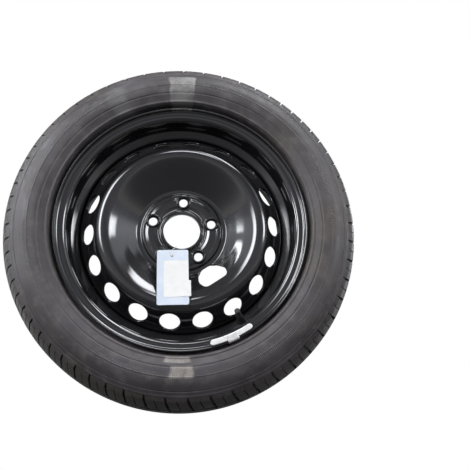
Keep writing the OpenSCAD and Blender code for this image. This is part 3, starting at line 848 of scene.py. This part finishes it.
def valve_piece(name, outline, material, columns, wave=None, **kw):
    """Outline turned about the valve's axis. wave(radius, height, angle) moves the radius."""
    p = np.asarray(outline, float)
    a = np.arange(columns) * 2 * math.pi / columns
    r, h, turn = np.broadcast_arrays(p[:, 0][:, None], p[:, 1][:, None], a[None, :])
    if wave:
        r = wave(r, h, turn)
    out, side = r * np.cos(a), r * np.sin(a)
    v = ROOT + h[..., None] * AXIS + out[..., None] * OUTWARD + side[..., None] * ACROSS
    return piece(name, v.reshape(-1, 3), grid_faces(len(p), columns), material, **kw)


stem_r, tail_r, rubber_end, stem_end = 3.85, 3.0, 19.5, 31.0
boot = path([
    [tail_r, -11.3, 0], [6.0, -11.3, 0.8], [8.6, -7.3, 1.2], [8.6, -5.1, 0.6],
    [6.8, -3.3, 0.6], [5.65, -3.3, 0.3], [5.65, 0.3, 0.3], [6.7, 0.3, 0.3],
    [7.7, 1.8, 0.8], [7.1, 6.0, 1.5], [6.6, 8.0, 1.0], [5.85, 16.5, 2.0], [5.35, rubber_end, 0.5],
    [stem_r + 0.01, rubber_end, 0], [stem_r + 0.01, 8.0, 0], [tail_r, 8.0, 0]], 1.2, 15)
valve_piece("valve_boot", boot, VALVE_RUBBER, columns=64, nodes=["valve_body"], slot="valve_rubber")

thread_from, thread_to, thread_pitch, thread_depth = 21.0, 30.2, 0.794, 0.30


def thread(r, h, a):
    """Fine screw thread on the outside of the stem's mouth."""
    turn = (h / thread_pitch - a / (2 * math.pi)) % 1.0
    fade = np.clip((h - thread_from) / 0.8, 0, 1) * np.clip((thread_to - h) / 0.6, 0, 1)
    return np.where(r > 3.5, r - thread_depth * (0.5 + 0.5 * np.cos(2 * math.pi * turn)) * fade, r)


core_bore_r, core_foot, plug_r, plug_foot, passage_r = 1.95, 8.4, 2.65, 23.5, 1.35
stem_foot = path([
    [passage_r, -9.0, 0], [tail_r, -9.0, 0.4], [tail_r, 8.0, 0],
    [stem_r, 8.0, 0], [stem_r, 20.4, 0]], 2.0, 15)
thread_rows = [[stem_r, 20.4 + 0.1 * k] for k in range(1, 101)]
stem_mouth = [
    [stem_r, stem_end - 0.4], [3.55, stem_end], [plug_r, stem_end], [plug_r, plug_foot],
    [core_bore_r, plug_foot], [core_bore_r, core_foot], [passage_r, core_foot]]
stem = [*stem_foot, *thread_rows, *stem_mouth]
valve_piece("valve_stem_tube", stem, BRASS, columns=48, wave=thread,
            nodes=["valve_stem"], slot="brass", sharp=35)

cap_bore, cap_ribs = 4.05, 24
cap_outer = path([
    [cap_bore, 20.1, 0], [4.75, 20.1, 0.2], [4.95, 20.6, 0.2], [4.95, 31.9, 0.5],
    [4.2, 32.9, 0.6], [0.02, 32.9, 0]], 0.5, 15)
cap_inner = [[0.02, 31.7], [cap_bore, 31.7]]


def knurl(r, h, a):
    """Ribs round the outside of the dust cap."""
    fade = np.clip((h - 21.0) / 0.5, 0, 1) * np.clip((31.6 - h) / 0.5, 0, 1)
    return np.where(r > 4.6, r - 0.22 * (0.5 - 0.5 * np.cos(cap_ribs * a)) * fade, r)


valve_piece("dust_cap_shell", [*cap_outer, *cap_inner], CAP_PLASTIC, columns=144, wave=knurl,
            body="dust_cap", nodes=["valve_cap"], slot="black_plastic", sharp=50)

# Balance weight, inside the flange's lip
WEIGHT_DEG = -65.5
weight_long, weight_h, weight_front = 76, 9.4, lip_front + 3.5
weight_top = on_lip(flange_roll - rim_t, droop)[0] - 0.3
weight_foot, weight_mid_r = weight_top - weight_h, weight_top - weight_h / 2
weight_half = math.degrees((weight_long / 2) / weight_mid_r)
profile = path([
    [weight_foot + 1.2, lip_c[1] - 5.0, 0],
    [weight_foot, lip_c[1] - 2.0, 1.5],
    [weight_foot, weight_front, 1.6],
    [weight_top, weight_front, 1.0],
    [weight_top, lip_c[1] - 2.0, 1.5],
    [weight_top - 2.6, lip_c[1] - 5.6, 1.5],
    [weight_foot + 2.4, lip_c[1] - 6.0, 0]], 1.2, 15)
mid_h = profile.mean(0)[1]
# shares of the half length, closer together at the rounded ends
round_end = -1 + 0.13 * (1 - np.cos(np.linspace(0.35, math.pi / 2, 9)))
shares = np.concatenate([[-0.996], round_end, np.linspace(-0.84, 0.84, 40), -round_end[::-1], [0.996]])
rows = []
for s in shares:
    gone = max(0.0, (abs(s) - 0.87) / 0.13)
    squeeze = math.sqrt(max(0.0, 1 - gone ** 2))
    r = weight_mid_r + (profile[:, 0] - weight_mid_r) * (0.06 + 0.94 * squeeze)
    h = mid_h + (profile[:, 1] - mid_h) * (0.72 + 0.28 * squeeze)
    rows.append(polar(r, math.radians(WEIGHT_DEG + s * weight_half), h))
weight_faces = capped_faces(len(rows), len(profile))
piece("weight_block", np.vstack(rows), weight_faces, ZINC, sharp=50, nodes=["balance_weight"], slot="zinc")

# Its clip: a strip hooked over the flange's lip and bent down over the weight
clip_half_t, clip_half_w, clip_gap, clip_face = 0.5, 9.5, 0.6, weight_front + 0.45
hook = [on_lip(flange_roll + clip_gap, math.radians(t)) for t in np.linspace(-50, 20, 15)]
bend = on_lip(flange_roll + clip_gap, droop)[0] + 0.2
tongue = path([
    [bend, lip_front + 0.9, 0],
    [bend - 0.2, clip_face, 2.4],
    [weight_top - 7.6, clip_face, 0]], 0.8, 12)
clip_mid = np.array([*hook, *tongue])
clip_n = side_of(clip_mid)
clip_half = math.degrees(clip_half_w / weight_mid_r)
# shares of the half width, each with how far the strip's broken edges draw in there
edges = [(-1, 0.3), (-0.97, 0.0), *[(x, 0.0) for x in np.linspace(-0.8, 0.8, 9)], (0.97, 0.0), (1, 0.3)]
rows = []
for s, drawn in edges:
    t = clip_half_t - drawn
    q = np.array([*(clip_mid + clip_n * t), *(clip_mid[::-1] - clip_n[::-1] * t)])
    rows.append(polar(q[:, 0], math.radians(WEIGHT_DEG + s * clip_half), q[:, 1]))
strip_cols = 2 * len(clip_mid)
clip_faces = grid_faces(len(rows), strip_cols, closed_rows=False)
for base, turn in ((0, 1), ((len(rows) - 1) * strip_cols, -1)):
    far = base + strip_cols - 1
    for k in range(len(clip_mid) - 1):
        clip_faces.append((base + k, base + k + 1, far - 1 - k, far - k)[::turn])
piece("weight_clip_strip", np.vstack(rows), clip_faces, CLIP, sharp=50,
      nodes=["weight_clip"], slot="clip_steel")

# Blank tag, which leans on the crown
tag_top, tag_foot = np.array([-15.2, -57.0, -37.3]), np.array([-11.7, -86.5, -140.4])
TAG_DOWN = unit(tag_foot - tag_top)
TAG_SIDE = -unit(np.cross(TAG_DOWN, [0.0, 1.0, 0.0]))
if TAG_SIDE[0] < 0:
    TAG_SIDE = -TAG_SIDE
TAG_OUT = unit(np.cross(TAG_DOWN, TAG_SIDE))
if TAG_OUT[1] > 0:
    TAG_OUT = -TAG_OUT
tag_w, tag_h, tag_bow, bow_end = 54.8, 107.4, 1.2, 107.0


def on_tag(side, down, out):
    """Row-frame point from millimetres across, down and in front of the tag's top edge."""
    side, down = np.asarray(side, float), np.asarray(down, float)
    lift = out + tag_bow * np.sin(np.clip(down / bow_end, 0, 1) * math.pi)
    return tag_top + side[..., None] * TAG_SIDE + down[..., None] * TAG_DOWN + lift[..., None] * TAG_OUT


def card_edge(left, right, top, foot, corner):
    """Points round a card with rounded corners, as (across, down)."""
    inner = [
        (right - corner, top + corner), (right - corner, foot - corner),
        (left + corner, foot - corner), (left + corner, top + corner)]
    edge = []
    for i, middle in enumerate(inner):
        for t in np.linspace(-math.pi / 2, 0, 7) + i * math.pi / 2:
            edge.append(np.array(middle) + corner * np.array([math.cos(t), math.sin(t)]))
        last = edge[-1]
        goal = np.array(inner[(i + 1) % 4]) + last - np.array(middle)
        edge += [last + (goal - last) * k / 8 for k in range(1, 8)]
    return np.array(edge)


def card(name, left, right, top, foot, corner, front, thick, material, hole=None):
    """Rounded card between two sides, its top and its foot, with a punched hole at (across, down, radius)."""
    across, down, start = hole or ((left + right) / 2, (top + foot) / 2, 0.5)
    mid = np.array([across, down])
    way = card_edge(left, right, top, foot, corner) - mid
    reach = np.hypot(way[:, 0], way[:, 1])
    unit_way = way / reach[:, None]
    rings = [mid + unit_way * (start + (reach - start) * t)[:, None] for t in np.linspace(0, 1, 12)]
    layers = [(q, front) for q in rings] + [(q, front - thick) for q in rings[::-1]]
    v = np.vstack([on_tag(q[:, 0], q[:, 1], o) for q, o in layers])
    return piece(name, v, grid_faces(len(layers), len(way)), material, sharp=40)


tag_hole = (-1.6, 11.8, 2.7)
card("tag_sleeve", -tag_w / 2, tag_w / 2, 0.0, tag_h, 3.5, 0.5, 0.9, SLEEVE, tag_hole)
card("tag_card", -15.5, 26.8, 22.0, 93.0, 1.5, 0.85, 0.3, CARD)
card("tag_slip", 10.0, 31.0, 62.0, 92.0, 1.2, 1.25, 0.3, CARD)

# String: from its knot at the tag, over the hub pad's collar, through the bore and back through a bolt hole
string_d = 1.0
knot = on_tag(tag_hole[0], tag_hole[1], 1.1)
bore_at = np.array([-9.6, 0.0, -30.4])
hole_mid = polar(bolt_r, math.radians(VALVE_DEG - 360 // BOLTS), 0.0)
route = np.array([
    knot,
    on_tag(tag_hole[0] + 0.6, 5.0, 1.4),
    on_tag(tag_hole[0] + 1.6, -0.6, 0.6),
    [-11.0, -53.5, -32.4],
    bore_at + [0, -50.4, 1.6],
    bore_at + [-0.2, -45.0, 0.2],
    bore_at + [-0.6, -40.6, -0.6],
    [-14.0, -38.6, -33.4],
    [-22.0, -38.4, -37.0],
    [-30.0, -38.8, -41.4],
    hole_mid + [0.4, -42.0, 0.3],
    hole_mid + [1.2, -47.0, 0.0],
    hole_mid + [4.5, -52.0, -1.0],
    [-23.0, -56.4, -47.0],
    on_tag(tag_hole[0] - 2.4, tag_hole[1] - 0.4, -1.6),
    on_tag(tag_hole[0] - 1.0, tag_hole[1], -1.2)])


def smooth_route(points, each=8):
    """Catmull-Rom points through a route."""
    p = np.vstack([2 * points[0] - points[1], points, 2 * points[-1] - points[-2]])
    out = []
    for before, a, b, after in zip(p, p[1:], p[2:], p[3:]):
        for t in np.arange(each) / each:
            linear = (b - before) * t
            square = (2 * before - 5 * a + 4 * b - after) * t ** 2
            cube = (3 * a - before - 3 * b + after) * t ** 3
            out.append(0.5 * (2 * a + linear + square + cube))
    return np.array([*out, points[-1]])


line = smooth_route(route) * MM
curve = bpy.data.curves.new("tag_string", "CURVE")
curve.dimensions = "3D"
curve.bevel_depth = string_d / 2 * MM
curve.bevel_resolution = 3
curve.use_fill_caps = True
spline = curve.splines.new("POLY")
spline.points.add(len(line) - 1)
for q, c in zip(spline.points, line):
    q.co = (*[float(x) for x in c], 1)
curve.materials.append(STRING)
string = bpy.data.objects.new("tag_string", curve)
bpy.context.scene.collection.objects.link(string)
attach(string, "root")

# Knot: a flat ball on the tag
rise = np.linspace(-math.pi / 2, math.pi / 2, 13)
ball_r, ball_h = 1.35 * np.cos(rise), 1.0 * np.sin(rise)
ball_r[[0, -1]] = 0.02
a = np.arange(20) * 2 * math.pi / 20
aside, below = ball_r[:, None] * np.cos(a), ball_r[:, None] * np.sin(a)
v = knot + aside[..., None] * TAG_SIDE + below[..., None] * TAG_DOWN + ball_h[:, None, None] * TAG_OUT
knot_piece = piece("tag_knot", v.reshape(-1, 3), capped_faces(len(rise), len(a)), STRING)

# Finishes of the CAD nodes that stay in view
CORE_FINISH = {
    "core_plug": BRASS, "core_barrel": BRASS, "core_pin": BRASS,
    "core_gasket": RED_SEAL, "core_seal": VALVE_RUBBER, "core_spring": SPRING}
for node, finish in CORE_FINISH.items():
    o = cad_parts[node]
    o.data.materials.clear()
    o.data.materials.append(finish)

# Floor: pale round the wheel, where it keeps the shadow, and white further off
floor_z, floor_r = -0.47, 9.0


def floor_finish():
    g = Graph("floor_pale")
    grey = g.mix(g.noise(3.0), (0.11, 0.11, 0.11), (0.12, 0.12, 0.12))
    mat = g.set(Base_Color=grey, Roughness=0.9, Specular_IOR_Level=0.1)
    x, y, z = g.split(g.at)
    away = g.math("SQRT", g.math("ADD", g.times(x, x), g.times(y, y)))
    glossy = g.times(g.ramp(away, 1.0, 3.5), g.ramp(y, -1.5, 0.5, 0.45, 1.0))
    glossy = g.times(g.rays("Is Glossy Ray", "Is Transmission Ray"), glossy)
    seen = g.times(g.rays("Is Camera Ray"), g.ramp(away, 0.7, 1.25, 0.55, 1.0))
    blend = g.node("ShaderNodeMixShader")
    g.feed(blend.inputs[0], g.math("MAXIMUM", glossy, seen))
    g.feed(blend.inputs[1], g.shader.outputs[0])
    g.feed(blend.inputs[2], g.node("ShaderNodeEmission").outputs[0])
    g.feed(g.tree.nodes["Material Output"].inputs["Surface"], blend.outputs[0])
    return mat


floor_a = np.arange(96) * 2 * math.pi / 96
floor_mesh = bpy.data.meshes.new("floor")
floor_v = [(floor_r * math.cos(t), floor_r * math.sin(t), floor_z) for t in floor_a]
floor_mesh.from_pydata(floor_v, [], [range(len(floor_v))])
floor_mesh.materials.append(floor_finish())
floor = bpy.data.objects.new("floor", floor_mesh)
bpy.context.scene.collection.objects.link(floor)

# World: white for the camera; mirrors show it a little cool, and dimmer towards the ceiling and the front
world = bpy.data.worlds.new("studio")
bpy.context.scene.world = world
world.use_nodes = True
g = Nodes(world.node_tree)
x, y, z = g.split(g.node("ShaderNodeTexCoord").outputs["Generated"])
room = g.times(g.ramp(z, 0.15, 0.6, 1.0, 0.25), g.ramp(y, -0.5, 0.1, 0.42, 1.0))
strength = g.mix_value(g.rays("Is Glossy Ray", "Is Transmission Ray"), 0.2, room)
strength = g.mix_value(g.rays("Is Camera Ray"), strength, 1.0)
backdrop = world.node_tree.nodes["Background"]
g.feed(backdrop.inputs["Strength"], strength)
g.feed(backdrop.inputs["Color"], g.mix(g.rays("Is Glossy Ray"), (1, 1, 1), (0.88, 0.90, 1.0)))


# Lamps
LAMP_AWAY = 6.0
COOL, CLEAR = (0.86, 0.93, 1.0), (0.94, 0.96, 1.0)


def softbox(name, azimuth, elevation, wide, tall, radiance, colour):
    """Area light turned to the wheel, brightest in its middle. Azimuth runs from the front to the right;
    all angles are in degrees, also its width and height as the wheel sees them."""
    a, e = math.radians(azimuth), math.radians(elevation)
    at = Vector((math.sin(a) * math.cos(e), -math.cos(a) * math.cos(e), math.sin(e))) * LAMP_AWAY
    light = bpy.data.lights.new(name, "AREA")
    light.shape = "RECTANGLE"
    light.size = 2 * LAMP_AWAY * math.tan(math.radians(wide / 2))
    light.size_y = 2 * LAMP_AWAY * math.tan(math.radians(tall / 2))
    light.energy = radiance * math.pi * light.size * light.size_y
    light.color = colour
    light.use_nodes = True
    g = Nodes(light.node_tree)
    across = g.split(g.node("ShaderNodeNewGeometry").outputs["Parametric"])
    # u (1 - u) is 0 at the edges and 0.25 in the middle
    humps = [g.times(u, g.math("SUBTRACT", 1.0, u)) for u in across[:2]]
    fades = [g.ramp(hump, 0.0, 0.25, kind="SMOOTHERSTEP") for hump in humps]
    g.feed(light.node_tree.nodes["Emission"].inputs["Strength"], g.times(*fades))
    o = bpy.data.objects.new(name, light)
    o.location = at
    o.rotation_euler = (-at).to_track_quat("-Z", "Y").to_euler()
    bpy.context.scene.collection.objects.link(o)


softbox("box_left", -40, 24, 24, 44, 12.5, CLEAR)
softbox("box_side_low", -79, 10, 9, 20, 24, CLEAR)
softbox("box_side_high", -82, 36, 9, 26, 24, CLEAR)
softbox("box_right", 57, 17, 24, 20, 11, CLEAR)
softbox("box_above", 58, 64, 36, 26, 11, CLEAR)
softbox("box_top", 4, 52, 26, 16, 8.5, CLEAR)
softbox("fill_left", -74, 26, 62, 50, 0.6, COOL)
softbox("fill_right", 74, 26, 62, 50, 0.9, COOL)
softbox("fill_back", 160, 28, 60, 50, 2.5, CLEAR)

# Camera, as fitted to the photograph: turns in radians, places in millimetres, lengths on the photo in pixels
PHOTO_SIDE, SENSOR = 470, 36.0
yaw, pitch, roll = 0.07275, 0.281775, 0.001237
off_right, off_up, distance, focal = -98.895, -8.642, 1289.303, 693.43
forward = np.array([math.sin(yaw) * math.cos(pitch), math.cos(yaw) * math.cos(pitch), math.sin(pitch)])
level = np.array([math.cos(yaw), -math.sin(yaw), 0.0])
upright = np.cross(level, forward)
right = math.cos(roll) * level + math.sin(roll) * upright
up = -math.sin(roll) * level + math.cos(roll) * upright
eye = (-forward * distance - right * off_right - up * off_up) * MM
cam_data = bpy.data.cameras.new("camera")
cam_data.sensor_width = SENSOR
cam_data.lens = focal / PHOTO_SIDE * SENSOR
cam_data.shift_y = -1 / PHOTO_SIDE
cam = bpy.data.objects.new("camera", cam_data)
cam_axes = [[float(right[k]), float(up[k]), float(-forward[k]), float(eye[k])] for k in range(3)]
cam.matrix_world = Matrix([*cam_axes, [0, 0, 0, 1]])
bpy.context.scene.collection.objects.link(cam)
bpy.context.scene.camera = cam
bpy.context.scene.view_settings.view_transform = "Standard"
